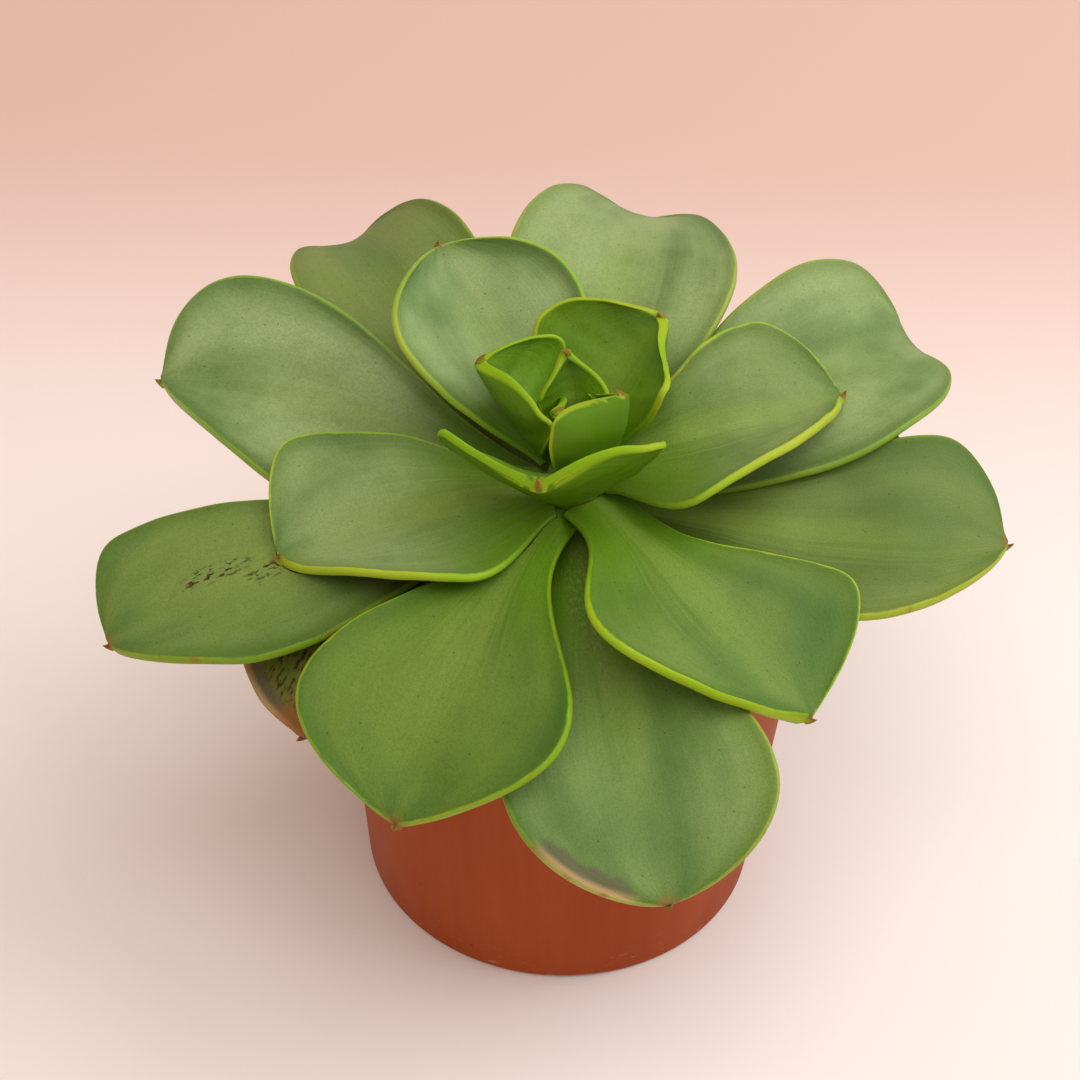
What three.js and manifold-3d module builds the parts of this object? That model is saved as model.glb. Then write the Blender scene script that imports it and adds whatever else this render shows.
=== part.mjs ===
// Potted succulent: a rosette of thick spoon-shaped leaves on a short leaning stem, in a plain
// tapered plastic nursery pot. Millimetres, +Z up, origin at the centre of the pot's underside.

import * as THREE from "three";
import { ParametricGeometry } from "three/addons/geometries/ParametricGeometry.js";
import { mergeVertices } from "three/addons/utils/BufferGeometryUtils.js";
import Module from "manifold-3d";

const wasm = await Module();
wasm.setup();

// ---- Driving dimensions -------------------------------------------------------------------

const GAP = 0.3; // clearance left between two pieces that touch
const AROUND = 72; // facets around the pot and the soil

const POT = {
  height: 90,
  bottomRadius: 45.9,
  topRadius: 52.5,
  wall: 1.2,
  floor: 1.8,
  edge: 0.8, // chamfer round the bottom edge
  rimDepth: 5,
  rimProud: 1.4,
  drains: 3,
  firstDrain: -84, // bearing in degrees of the drain channel at the front
  channelWidth: 14,
  channelHeight: 1,
  channelStart: 29, // distance of the channel's inner end from the axis
  holeRadius: 4,
  holeDistance: 35,
};

const SOIL = { bottom: POT.floor + GAP, edgeHeight: 77, middleHeight: 80 };

// The crown leans towards the front of the pot, so the leaves are set out in a tilted frame.
const CROWN = { height: 100, lean: 12 };

const STEM = { bottom: -31, top: 22, bottomRadius: 7, topRadius: 4.5 };

const NECK_START = 6; // distance of a leaf's seat from the stem's axis
const MUCRO = { length: 1.2, share: 0.05, radius: 0.9 }; // the small point that ends each leaf
const MARGIN = { thickness: 2.2, fullAt: 5 }; // thinner on leaves thinner than fullAt

// How a blade's width runs along it: how slowly the neck opens, how square the shoulder is for a
// blade widest at the usual fraction of its length, and how both change for one widest later.
const OUTLINE = {
  opening: 1.15, usual: 0.6, earliest: -0.15, shoulder: 1.8, squarer: 2.2, rounder: 1.2,
};

const COLORS = {
  pot: "#a8582f",
  soil: "#33251c",
  stem: "#7d8a4a",
  leaf: "#6f9a4f",
  heart: "#82b038",
  old: "#6f6b33",
};

// One row per leaf, from the bud outwards, in the crown's own frame.
//   bearing   direction the leaf points, degrees anticlockwise from +X
//   seat      height where its neck leaves the stem
//   reach     distance of its tip from the stem's axis
//   lift      height of its tip
//   rise      slope of the neck, degrees above the crown's plane
//   tipRise   slope at the tip
//   width     greatest width, measured along the surface
//   neck      width where it leaves the stem
//   thick     greatest thickness
//   cup       angle that each side is curled up by, degrees
//   roll      turn about its own length, degrees, positive lifts the anticlockwise side
//   sway      sideways bow of its middle, positive anticlockwise
//   widest    where the blade is widest, as a fraction of its length
//   skew      how much nearer the tip the anticlockwise side is widest
//   blunt     shape of the end: 0.5 round, 1 pointed
//   flare     how far up from the stem the blade stays narrow
const LEAVES = [
  { name: "leaf_bud", bearing: -150, seat: 22, reach: 3, lift: 37, rise: 85, tipRise: 100,
    width: 14, neck: 5, thick: 3, cup: 50, roll: 0, sway: 0,
    widest: 0.6, skew: 0, blunt: 0.8, flare: 1.1 },
  { name: "leaf_heart_back", bearing: 105, seat: 20, reach: 9, lift: 41, rise: 65, tipRise: 95,
    width: 17, neck: 7, thick: 3, cup: 50, roll: 0, sway: 0,
    widest: 0.6, skew: 0, blunt: 1, flare: 1.1 },
  { name: "leaf_heart_right", bearing: -21, seat: 19, reach: 7, lift: 44, rise: 50, tipRise: 115,
    width: 32, neck: 8, thick: 3.2, cup: 68, roll: 0, sway: -5,
    widest: 0.74, skew: -0.12, blunt: 0.7, flare: 1.1 },
  { name: "leaf_heart_left", bearing: 150, seat: 17, reach: 22, lift: 38, rise: 50, tipRise: 65,
    width: 37, neck: 9, thick: 3.4, cup: 72, roll: 30, sway: 0,
    widest: 0.56, skew: -0.06, blunt: 0.8, flare: 1.1 },
  { name: "leaf_inner_right", bearing: 60, seat: 15, reach: 32, lift: 34, rise: 38, tipRise: 70,
    width: 43, neck: 10, thick: 4, cup: 58, roll: -16, sway: 2,
    widest: 0.56, skew: 0.05, blunt: 0.58, flare: 1.1 },
  { name: "leaf_inner_left", bearing: 123, seat: 13, reach: 57, lift: 33, rise: 24, tipRise: 40,
    width: 47, neck: 10, thick: 4.4, cup: 42, roll: 0, sway: 0,
    widest: 0.62, skew: 0, blunt: 0.58, flare: 1.1 },
  { name: "leaf_inner_front", bearing: -111, seat: 13, reach: 22, lift: 37.5, rise: 56, tipRise: 32,
    width: 50, neck: 10, thick: 4, cup: 38, roll: 16, sway: 0,
    widest: 0.7, skew: 0, blunt: 0.6, flare: 1.1 },
  { name: "leaf_upper_right", bearing: 25, seat: 11, reach: 65, lift: 12, rise: 28, tipRise: -5,
    width: 47, neck: 12, thick: 4.8, cup: 45, roll: -7, sway: -3,
    widest: 0.52, skew: 0.25, blunt: 0.72, flare: 1.3 },
  { name: "leaf_upper_left", bearing: -164, seat: 8, reach: 65, lift: 5, rise: 8, tipRise: -10,
    width: 52, neck: 15, thick: 4.8, cup: 32, roll: 5, sway: 0,
    widest: 0.6, skew: -0.22, blunt: 0.72, flare: 1.2 },
  { name: "leaf_front_right", bearing: -46, seat: 8, reach: 72, lift: 2, rise: 16, tipRise: -20,
    width: 58, neck: 15, thick: 5, cup: 28, roll: -12, sway: -3,
    widest: 0.63, skew: 0.15, blunt: 0.95, flare: 2.8 },
  { name: "leaf_back", bearing: 81, seat: 7, reach: 98, lift: -5, rise: 26, tipRise: -45,
    width: 53, neck: 12, thick: 5, cup: 25, roll: 6, sway: 0,
    widest: 0.55, skew: 0, blunt: 0.43, flare: 1.1 },
  { name: "leaf_front_left", bearing: -113, seat: 6, reach: 86, lift: 0, rise: 15, tipRise: -25,
    width: 57, neck: 10, thick: 5, cup: 20, roll: 5, sway: -2,
    widest: 0.72, skew: -0.02, blunt: 1.1, flare: 2.6 },
  { name: "leaf_right", bearing: 0, seat: 1, reach: 96, lift: -5, rise: 3, tipRise: -20,
    width: 49, neck: 12, thick: 5, cup: 20, roll: 3, sway: -5,
    widest: 0.69, skew: 0.16, blunt: 0.78, flare: 2 },
  { name: "leaf_left", bearing: 160.5, seat: 1, reach: 100, lift: 1, rise: 4, tipRise: -20,
    width: 52, neck: 12, thick: 5, cup: 25, roll: -14, sway: -4,
    widest: 0.65, skew: -0.17, blunt: 0.75, flare: 2.2 },
  { name: "leaf_front", bearing: -77, seat: 0, reach: 93, lift: -7, rise: 15, tipRise: -25,
    width: 55, neck: 12, thick: 5, cup: 16, roll: 0, sway: -2,
    widest: 0.72, skew: 0.03, blunt: 0.72, flare: 2 },
  { name: "leaf_back_right", bearing: 36.5, seat: -2, reach: 98, lift: -6, rise: 20, tipRise: -45,
    width: 50, neck: 12, thick: 5, cup: 25, roll: 8, sway: -3,
    widest: 0.66, skew: 0.08, blunt: 0.34, flare: 1.4 },
  { name: "leaf_lower_left", bearing: -161, seat: -2, reach: 103, lift: -7, rise: 9, tipRise: -25,
    width: 45, neck: 12, thick: 5, cup: 15, roll: 0, sway: -2,
    widest: 0.76, skew: -0.12, blunt: 0.85, flare: 2.2 },
  { name: "leaf_back_left", bearing: 122, seat: -5, reach: 106, lift: -11, rise: 20, tipRise: -48,
    width: 46, neck: 12, thick: 5, cup: 25, roll: 0, sway: 4,
    widest: 0.66, skew: -0.08, blunt: 0.34, flare: 1.4 },
  { name: "leaf_old_left", bearing: -136, seat: -7, reach: 77, lift: -10, rise: 22, tipRise: -45,
    width: 52, neck: 11, thick: 4, cup: 8, roll: 8, sway: -8,
    widest: 0.7, skew: 0, blunt: 0.7, flare: 1.1 },
  { name: "leaf_old_right", bearing: 24, seat: -10, reach: 84, lift: -12, rise: 5, tipRise: -10,
    width: 36, neck: 10, thick: 3, cup: 20, roll: 0, sway: 0,
    widest: 0.7, skew: 0, blunt: 0.7, flare: 1.1 },
];

// Stations along a blade and points round its section; face is 1 above, -1 below, 0 at the margin.
const STATIONS = [0, 0.1, 0.22, 0.34, 0.46, 0.57, 0.67, 0.76, 0.84, 0.91, 0.96, 0.99, 1];
const SECTION = [
  [-1, 0], [-0.88, -1], [-0.5, -1], [0, -1], [0.5, -1], [0.88, -1],
  [1, 0], [0.88, 1], [0.5, 1], [0, 1], [-0.5, 1], [-0.88, 1],
];

// ---- Solids -------------------------------------------------------------------------------

const radians = THREE.MathUtils.degToRad;

// Only positions, with shared corners merged and collapsed triangles left out.
function weld(geometry) {
  const bare = geometry.index ? geometry.clone() : geometry;
  bare.deleteAttribute("normal");
  bare.deleteAttribute("uv");
  const merged = mergeVertices(bare, 1e-4);
  const kept = [];
  const index = merged.index.array;
  for (let i = 0; i < index.length; i += 3) {
    const [a, b, c] = [index[i], index[i + 1], index[i + 2]];
    const collapsed = a === b || b === c || c === a;
    if (!collapsed) {
      kept.push(a, b, c);
    }
  }
  merged.setIndex(kept);
  return merged;
}

function toSolid(geometry) {
  const merged = weld(geometry);
  return new wasm.Manifold(
    new wasm.Mesh({
      numProp: 3,
      vertProperties: Float32Array.from(merged.attributes.position.array),
      triVerts: Uint32Array.from(merged.index.array),
    }),
  );
}

function toGeometry(solid) {
  const mesh = solid.getMesh();
  const geometry = new THREE.BufferGeometry();
  geometry.setAttribute("position", new THREE.BufferAttribute(mesh.vertProperties, 3));
  geometry.setIndex(new THREE.BufferAttribute(mesh.triVerts, 1));
  geometry.computeVertexNormals();
  return geometry;
}

// The same shape with its surface moved outwards, used to leave a gap around a neighbour.
function swell(geometry, distance) {
  const merged = weld(geometry);
  merged.computeVertexNormals();
  const { position, normal } = merged.attributes;
  const point = new THREE.Vector3();
  const out = new THREE.Vector3();
  for (let i = 0; i < position.count; i++) {
    point.fromBufferAttribute(position, i);
    out.fromBufferAttribute(normal, i);
    point.addScaledVector(out, distance);
    position.setXYZ(i, point.x, point.y, point.z);
  }
  return merged;
}

function lathe(profile) {
  const points = profile.map(([radius, height]) => new THREE.Vector2(radius, height));
  return new THREE.LatheGeometry(points, AROUND).rotateX(Math.PI / 2);
}

function paint(color, roughness) {
  return new THREE.MeshStandardMaterial({ color, roughness, metalness: 0 });
}

function piece(name, geometry, material) {
  const mesh = new THREE.Mesh(geometry, material);
  mesh.name = name;
  return mesh;
}

// ---- Pot and soil -------------------------------------------------------------------------

function potRadius(height) {
  return POT.bottomRadius + ((POT.topRadius - POT.bottomRadius) * height) / POT.height;
}

function makePot() {
  const { height, wall, floor, edge, rimDepth, rimProud } = POT;
  const top = POT.topRadius;
  let pot = toSolid(
    lathe([
      [0, 0],
      [POT.bottomRadius - edge, 0],
      [potRadius(edge), edge],
      [potRadius(height - rimDepth), height - rimDepth],
      [top + rimProud - 0.3, height - rimDepth + 0.6],
      [top + rimProud, height - rimDepth + 1.4],
      [top + rimProud, height - 0.8],
      [top + rimProud - 0.6, height],
      [top - wall + 0.4, height],
      [top - wall, height - 0.5],
      [potRadius(floor + 1.5) - wall, floor + 1.5],
      [potRadius(floor) - wall - 1.5, floor],
      [0, floor],
    ]),
  );
  for (let k = 0; k < POT.drains; k++) {
    const bearing = radians(POT.firstDrain + (360 * k) / POT.drains);
    const length = POT.bottomRadius + 5 - POT.channelStart;
    const channel = new THREE.BoxGeometry(length, POT.channelWidth, 2 * POT.channelHeight);
    channel.translate(POT.channelStart + length / 2, 0, 0).rotateZ(bearing);
    const hole = new THREE.CylinderGeometry(POT.holeRadius, POT.holeRadius, 3 * floor, 24);
    hole.rotateX(Math.PI / 2).translate(POT.holeDistance, 0, 0).rotateZ(bearing);
    pot = pot.subtract(toSolid(channel)).subtract(toSolid(hole));
  }
  return piece("pot", toGeometry(pot), paint(COLORS.pot, 0.55));
}

function makeSoil(stemInWorld) {
  const { bottom, edgeHeight, middleHeight } = SOIL;
  const inset = POT.wall + GAP;
  const soil = toSolid(
    lathe([
      [0, bottom],
      [potRadius(bottom) - inset - 1.8, bottom],
      [potRadius(bottom + 1.8) - inset, bottom + 1.8],
      [potRadius(edgeHeight) - inset, edgeHeight],
      [POT.topRadius * 0.6, (edgeHeight + 2 * middleHeight) / 3],
      [0, middleHeight],
    ]),
  );
  const socket = toSolid(swell(stemInWorld, GAP));
  return piece("soil", toGeometry(soil.subtract(socket)), paint(COLORS.soil, 0.95));
}

// ---- Stem and leaves ----------------------------------------------------------------------

function makeStemGeometry() {
  const { bottom, top, bottomRadius, topRadius } = STEM;
  const profile = [
    [0, bottom],
    [bottomRadius * 0.6, bottom + 0.5],
    [bottomRadius, bottom + 5],
    [bottomRadius, 0],
    [(bottomRadius + topRadius) / 2, top - 8],
    [topRadius, top - 3],
    [topRadius * 0.6, top - 0.7],
    [0, top],
  ];
  const points = profile.map(([radius, height]) => new THREE.Vector2(radius, height));
  return new THREE.LatheGeometry(points, 20).rotateX(Math.PI / 2);
}

// The curve of a leaf's middle, in the upright plane through its bearing.
function midline(leaf) {
  const start = new THREE.Vector2(NECK_START, leaf.seat);
  const end = new THREE.Vector2(leaf.reach, leaf.lift);
  if (leaf.reach < NECK_START + 4) {
    start.x = STEM.topRadius * 0.4;
  }
  const span = start.distanceTo(end);
  const [rise, tipRise] = [radians(leaf.rise), radians(leaf.tipRise)];
  const from = new THREE.Vector2(Math.cos(rise), Math.sin(rise)).multiplyScalar(0.42 * span);
  const to = new THREE.Vector2(Math.cos(tipRise), Math.sin(tipRise)).multiplyScalar(0.26 * span);
  return new THREE.CubicBezierCurve(start, start.clone().add(from), end.clone().sub(to), end);
}

// Half the width at a fraction of the blade's length: a narrow neck, a broad blade, a blunt end.
// A side that is widest late has a squarer shoulder than one that is widest early.
function halfWidth(leaf, fraction, side) {
  const neck = leaf.neck / leaf.width;
  const widest = leaf.widest + side * leaf.skew;
  if (fraction < widest) {
    const grown = Math.sin((Math.PI / 2) * (fraction / widest) ** OUTLINE.opening) ** leaf.flare;
    return (leaf.width / 2) * (neck + (1 - neck) * grown);
  }
  const past = (fraction - widest) / (1 - widest);
  const late = Math.max(OUTLINE.earliest, widest - OUTLINE.usual);
  const shoulder = OUTLINE.shoulder + OUTLINE.squarer * late;
  const end = leaf.blunt * (1 - OUTLINE.rounder * late);
  return Math.max(MUCRO.radius, (leaf.width / 2) * (1 - past ** shoulder) ** end);
}

// Where a point of the curled section lies, for a half width of one: out, up and surface slope.
function curl(cup, across) {
  const slope = cup * across;
  return { out: Math.sin(slope) / cup, up: (1 - Math.cos(slope)) / cup, slope };
}

function leafGeometry(leaf) {
  const curve = midline(leaf);
  const length = curve.getLength();
  const bearing = radians(leaf.bearing);
  const outward = new THREE.Vector3(Math.cos(bearing), Math.sin(bearing), 0);
  const sideways = new THREE.Vector3(-Math.sin(bearing), Math.cos(bearing), 0);
  const upward = new THREE.Vector3(0, 0, 1);

  const middle = (s) => {
    const flat = curve.getPointAt(s);
    const bow = leaf.sway * Math.sin(Math.PI * s);
    return outward.clone().multiplyScalar(flat.x)
      .addScaledVector(upward, flat.y)
      .addScaledVector(sideways, bow);
  };
  const bladeShare = 1 - Math.min(MUCRO.length / length, MUCRO.share);
  const surface = (u, v, target) => {
    const row = Math.round(v * (STATIONS.length + 1)) - 1;
    if (row < 0 || row === STATIONS.length) {
      target.copy(middle(row < 0 ? 0 : 1));
      return;
    }
    const blade = STATIONS[row];
    const s = blade * bladeShare;
    const centre = middle(s);
    const along = middle(Math.min(s + 0.01, 1)).sub(middle(Math.max(s - 0.01, 0))).normalize();
    const lateral = sideways.clone().addScaledVector(along, -sideways.dot(along)).normalize();
    lateral.applyAxisAngle(along, radians(leaf.roll));
    const normal = along.clone().cross(lateral);

    const [across, face] = SECTION[Math.round(u * SECTION.length) % SECTION.length];
    const half = halfWidth(leaf, blade, across);
    const spread = THREE.MathUtils.smoothstep(s, 0, 0.5);
    const cup = radians(THREE.MathUtils.lerp(12, leaf.cup, spread));
    const { out, up, slope } = curl(cup, across);
    const body = leaf.thick * (1 - 0.35 * s) * (1 - across * across);
    const rim = Math.min(MARGIN.thickness, 0.9 * half) * (leaf.thick / MARGIN.fullAt) ** 1.5;
    const depth = (face * Math.max(rim, Math.min(body + 0.4 * rim, 1.4 * half))) / 2;
    target.copy(centre)
      .addScaledVector(lateral, half * out - depth * Math.sin(slope))
      .addScaledVector(normal, half * up + depth * Math.cos(slope));
  };
  return new ParametricGeometry(surface, SECTION.length, STATIONS.length + 1);
}

// The youngest leaves are the brightest, and the two oldest have turned olive brown.
function leafColor(name) {
  if (name.startsWith("leaf_old")) {
    return COLORS.old;
  }
  const young = name === "leaf_bud" || name.startsWith("leaf_heart");
  return young ? COLORS.heart : COLORS.leaf;
}

// Each leaf is pressed against those placed before it, nearer the bud, with a small gap.
function makeLeaves(stemGeometry) {
  const placed = [toSolid(swell(stemGeometry, GAP))];
  return LEAVES.map((leaf) => {
    const geometry = leafGeometry(leaf);
    let solid = toSolid(geometry);
    for (const neighbour of placed) {
      solid = solid.subtract(neighbour);
    }
    placed.push(toSolid(swell(geometry, GAP)));
    const [largest] = solid.decompose().sort((a, b) => b.volume() - a.volume());
    return piece(leaf.name, toGeometry(largest), paint(leafColor(leaf.name), 0.5));
  });
}

// ---- Assembly -----------------------------------------------------------------------------

const crown = new THREE.Group();
crown.position.set(0, 0, CROWN.height);
crown.rotation.x = radians(CROWN.lean);
crown.updateMatrix();

const stemGeometry = makeStemGeometry();
crown.add(piece("stem", toGeometry(toSolid(stemGeometry)), paint(COLORS.stem, 0.7)));
crown.add(...makeLeaves(stemGeometry));

const plant = new THREE.Group();
plant.add(makePot());
plant.add(makeSoil(stemGeometry.clone().applyMatrix4(crown.matrix)));
plant.add(crown);

export default plant;
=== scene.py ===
"""Potted succulent: the finished surfaces of a leafy rosette in a plain plastic nursery pot.

Every leaf is rebuilt as a fine closed blade in the place of its plain CAD solid, pressed against its
neighbours, and given a waxy skin with a pale margin. Pot, potting mix and stem are built the same way.
Leaf sizes are in millimetres in the crown's own tilted frame; objects are in metres in the part's frame.
"""

import math
import random
from collections import namedtuple

import bmesh
import bpy
import numpy as np
from bpy.props import FloatProperty, FloatVectorProperty, IntProperty, PointerProperty
from bpy.types import Operator, Panel, PropertyGroup
from mathutils import Matrix, Vector, noise
from mathutils.bvhtree import BVHTree
from mathutils.interpolate import poly_3d_calc


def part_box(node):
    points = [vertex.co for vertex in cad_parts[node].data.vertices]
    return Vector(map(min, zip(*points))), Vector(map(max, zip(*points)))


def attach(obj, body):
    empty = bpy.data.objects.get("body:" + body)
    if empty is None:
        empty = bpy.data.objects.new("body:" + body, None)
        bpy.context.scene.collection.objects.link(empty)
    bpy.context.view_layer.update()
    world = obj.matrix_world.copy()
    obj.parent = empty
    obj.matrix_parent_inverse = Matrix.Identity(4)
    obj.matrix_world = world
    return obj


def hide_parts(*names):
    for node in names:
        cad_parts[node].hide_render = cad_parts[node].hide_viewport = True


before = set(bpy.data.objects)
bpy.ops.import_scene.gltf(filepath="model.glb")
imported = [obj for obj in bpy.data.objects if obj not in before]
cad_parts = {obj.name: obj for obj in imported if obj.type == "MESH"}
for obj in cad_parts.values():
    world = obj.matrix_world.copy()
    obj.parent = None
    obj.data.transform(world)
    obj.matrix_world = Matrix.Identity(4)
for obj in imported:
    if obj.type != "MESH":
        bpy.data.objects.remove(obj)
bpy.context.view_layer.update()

bl_info = {
    "name": "Potted succulent",
    "version": (1, 0, 0),
    "blender": (4, 5, 0),
    "location": "3D View > Sidebar > Succulent",
    "description": "Builds a rosette succulent in a nursery pot around its packed frame",
    "category": "Object",
}

MM = 0.001
BODY = "root"
POT_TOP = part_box("pot")[1].z
SOIL_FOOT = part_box("soil")[0].z

# ---- Crown and leaves ---------------------------------------------------------------------

CROWN_HEIGHT = 100  # above the pot's underside
CROWN_LEAN = math.radians(12)  # towards the front of the pot
NECK_START = 6  # distance of a leaf's seat from the stem's axis
BUD_START = 1.8  # the same for a leaf whose tip is less than BUD_REACH from the axis
BUD_REACH = 10
NECK_CUP = math.radians(12)  # how far each side of a neck is curled up
GAP = 0.3  # clearance between pieces pressed together
HEART_LIFT = 20  # leaves whose tip is higher than this stand up round the heart
FULL_THICK = 5  # a leaf thinner than this has a thinner margin
MUCRO_LENGTH, MUCRO_SHARE, MUCRO_RADIUS = 0.9, 0.05, 0.9  # the small point that ends each leaf

# How a blade's width runs along it: how slowly the neck opens, how square the shoulder is for a
# blade widest at the usual fraction of its length, and how both change for one widest later.
OPENING, USUAL, EARLIEST = 1.15, 0.6, -0.15
SHOULDER, SQUARER, ROUNDER = 1.8, 2.2, 1.2

# One row per leaf, from the bud outwards.
#   bearing   direction the leaf points, degrees anticlockwise from +X
#   seat      height where its neck leaves the stem
#   reach     distance of its tip from the stem's axis
#   lift      height of its tip
#   rise      slope of the neck, degrees above the crown's plane
#   tip_rise  slope at the tip
#   width     greatest width, measured along the surface
#   neck      width where it leaves the stem
#   thick     greatest thickness
#   cup       angle that each side is curled up by, degrees
#   roll      turn about its own length, degrees, positive lifts the anticlockwise side
#   sway      sideways bow of its middle, positive anticlockwise
#   widest    where the blade is widest, as a fraction of its length
#   skew      how much nearer the tip the anticlockwise side is widest
#   blunt     shape of the end: 0.5 round, 1 pointed
#   flare     how long the neck stays narrow
Leaf = namedtuple(
    "Leaf",
    "bearing seat reach lift rise tip_rise width neck thick cup roll sway widest skew blunt flare",
    defaults=(1.1,),
)
LEAVES = {
    "leaf_bud": Leaf(-150, 22, 3, 37, 85, 100, 14, 5, 3, 50, 0, 0, 0.6, 0, 0.8),
    "leaf_heart_back": Leaf(105, 20, 9, 41, 65, 95, 17, 7, 3, 50, 0, 0, 0.6, 0, 1),
    "leaf_heart_right": Leaf(-21, 19, 7, 44, 50, 115, 32, 8, 3.2, 68, 0, -5, 0.74, -0.12, 0.7),
    "leaf_heart_left": Leaf(150, 17, 22, 38, 50, 65, 37, 9, 3.4, 72, 30, 0, 0.56, -0.06, 0.8),
    "leaf_inner_right": Leaf(60, 15, 32, 34, 38, 70, 43, 10, 4, 58, -16, 2, 0.56, 0.05, 0.58),
    "leaf_inner_left": Leaf(123, 13, 57, 33, 24, 40, 47, 10, 4.4, 42, 0, 0, 0.62, 0, 0.58),
    "leaf_inner_front": Leaf(-111, 13, 22, 37.5, 56, 32, 50, 10, 4, 38, 16, 0, 0.7, 0, 0.6),
    "leaf_upper_right": Leaf(25, 11, 65, 12, 28, -5, 47, 12, 4.8, 45, -7, -3, 0.52, 0.25, 0.72, 1.3),
    "leaf_upper_left": Leaf(-164, 8, 65, 5, 8, -10, 52, 15, 4.8, 32, 5, 0, 0.6, -0.22, 0.72, 1.2),
    "leaf_front_right": Leaf(-46, 8, 72, 2, 16, -20, 58, 15, 5, 28, -12, -3, 0.63, 0.15, 0.95, 2.8),
    "leaf_back": Leaf(81, 7, 98, -5, 26, -45, 53, 12, 5, 25, 6, 0, 0.55, 0, 0.43),
    "leaf_front_left": Leaf(-113, 6, 86, 0, 15, -25, 57, 10, 5, 20, 5, -2, 0.72, -0.02, 1.1, 2.6),
    "leaf_right": Leaf(0, 1, 96, -5, 3, -20, 49, 12, 5, 20, 3, -5, 0.69, 0.16, 0.78, 2),
    "leaf_left": Leaf(160.5, 1, 100, 1, 4, -20, 52, 12, 5, 25, -14, -4, 0.65, -0.17, 0.75, 2.2),
    "leaf_front": Leaf(-77, 0, 93, -7, 15, -25, 55, 12, 5, 16, 0, -2, 0.72, 0.03, 0.72, 2),
    "leaf_back_right": Leaf(36.5, -2, 98, -6, 20, -45, 50, 12, 5, 25, 8, -3, 0.66, 0.08, 0.34, 1.4),
    "leaf_lower_left": Leaf(-161, -2, 103, -7, 9, -25, 45, 12, 5, 15, 0, -2, 0.76, -0.12, 0.85, 2.2),
    "leaf_back_left": Leaf(122, -5, 106, -11, 20, -48, 46, 12, 5, 25, 0, 4, 0.66, -0.08, 0.34, 1.4),
    "leaf_old_left": Leaf(-136, -7, 77, -10, 22, -45, 52, 11, 4, 8, 8, -8, 0.7, 0, 0.7),
    "leaf_old_right": Leaf(24, -10, 84, -12, 5, -10, 36, 10, 3, 20, 0, 0, 0.7, 0, 0.7),
}

# A mark on a leaf's upper skin. along runs from 0 at the neck to 1 at the tip, across from -1 to 1
# at the anticlockwise margin. length and breadth are its half sizes in millimetres.
Mark = namedtuple("Mark", "kind along across length breadth")

# How one leaf's skin differs from the rest: its share of blue-grey wax, how far fresh green reaches
# up from the neck, how much it has turned olive, how far the tip has browned in millimetres, how
# much of the margin has browned, how clearly the margin shows, and its marks.
Look = namedtuple(
    "Look", "bloom lime olive tip rust rim marks", defaults=(0.5, 0.3, 0.0, 3.0, 0.0, 0.5, ())
)
LOOKS = {
    "leaf_bud": Look(bloom=0.0, lime=1.6, tip=0.8),
    "leaf_heart_back": Look(bloom=0.0, lime=1.6, tip=1.2),
    "leaf_heart_right": Look(bloom=0.05, rim=0.55, lime=1.6, tip=1.5),
    "leaf_heart_left": Look(bloom=0.05, rim=0.6, lime=1.6, tip=1.5),
    "leaf_inner_right": Look(bloom=0.08, rim=0.65, lime=1.2, tip=1.6),
    "leaf_inner_left": Look(bloom=0.82, rim=0.6, lime=0.25, tip=2.0),
    "leaf_inner_front": Look(bloom=0.0, rim=0.6, lime=1.4, tip=1.8),
    "leaf_upper_right": Look(bloom=0.45, rim=0.7, lime=0.3, olive=0.25, tip=2.2),
    "leaf_upper_left": Look(bloom=0.65, rim=0.85, lime=0.4, tip=2.6),
    "leaf_front_right": Look(bloom=0.18, rim=0.8, lime=0.35, tip=2.4),
    "leaf_back": Look(bloom=0.85, rim=0.4, lime=0.2, olive=0.25, tip=2.2),
    "leaf_front_left": Look(bloom=0.1, rim=0.55, lime=0.35, tip=4.0, rust=0.15),
    "leaf_right": Look(bloom=0.3, rim=0.55, lime=0.1, olive=0.5, tip=4.0, rust=0.25),
    "leaf_left": Look(bloom=0.95, rim=0.5, lime=0.25, tip=2.4, rust=0.15),
    "leaf_front": Look(
        bloom=0.4, rim=0.4, lime=0.5, tip=4.0, rust=0.4,
        marks=(
            Mark("bruise", along=0.88, across=-0.72, length=13.0, breadth=13.0),
            Mark("scurf", along=0.24, across=0.0, length=22.0, breadth=8.0),
        ),
    ),
    "leaf_back_right": Look(bloom=0.75, rim=0.4, lime=0.15, olive=0.2, tip=3.0),
    "leaf_lower_left": Look(
        bloom=0.25, rim=0.4, lime=0.2, olive=0.2, tip=4.0, rust=0.5,
        marks=(
            Mark("specks", along=0.72, across=-0.18, length=10.0, breadth=2.6),
            Mark("specks", along=0.61, across=0.0, length=7.0, breadth=2.4),
        ),
    ),
    "leaf_back_left": Look(bloom=0.35, rim=0.35, lime=0.1, olive=0.55, tip=3.0, rust=0.1),
    "leaf_old_left": Look(
        bloom=0.0, lime=0.0, olive=1.0, tip=12.0, rust=1.0,
        marks=(
            Mark("specks", along=0.8, across=0.1, length=22.0, breadth=22.0),
            Mark("bruise", along=0.88, across=-0.4, length=22.0, breadth=22.0),
        ),
    ),
    "leaf_old_right": Look(bloom=0.0, lime=0.0, olive=1.0, tip=16.0, rust=1.0),
}

# Radius and height of the stem in the crown's frame, from root to growing point, and how far each of
# its corners is rounded.
STEM_PROFILE = ((0, -31), (4.2, -30.5), (7, -26), (7, 0), (5.75, 14), (4.5, 19), (2.7, 21.3), (0, 22))
STEM_ROUNDING = (1.5, 2, 3, 3, 2, 1)


def smooth_step(value, low, high):
    share = np.clip((value - low) / (high - low), 0.0, 1.0)
    return share * share * (3 - 2 * share)


def unit(vectors):
    return vectors / np.linalg.norm(vectors, axis=-1, keepdims=True)


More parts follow.
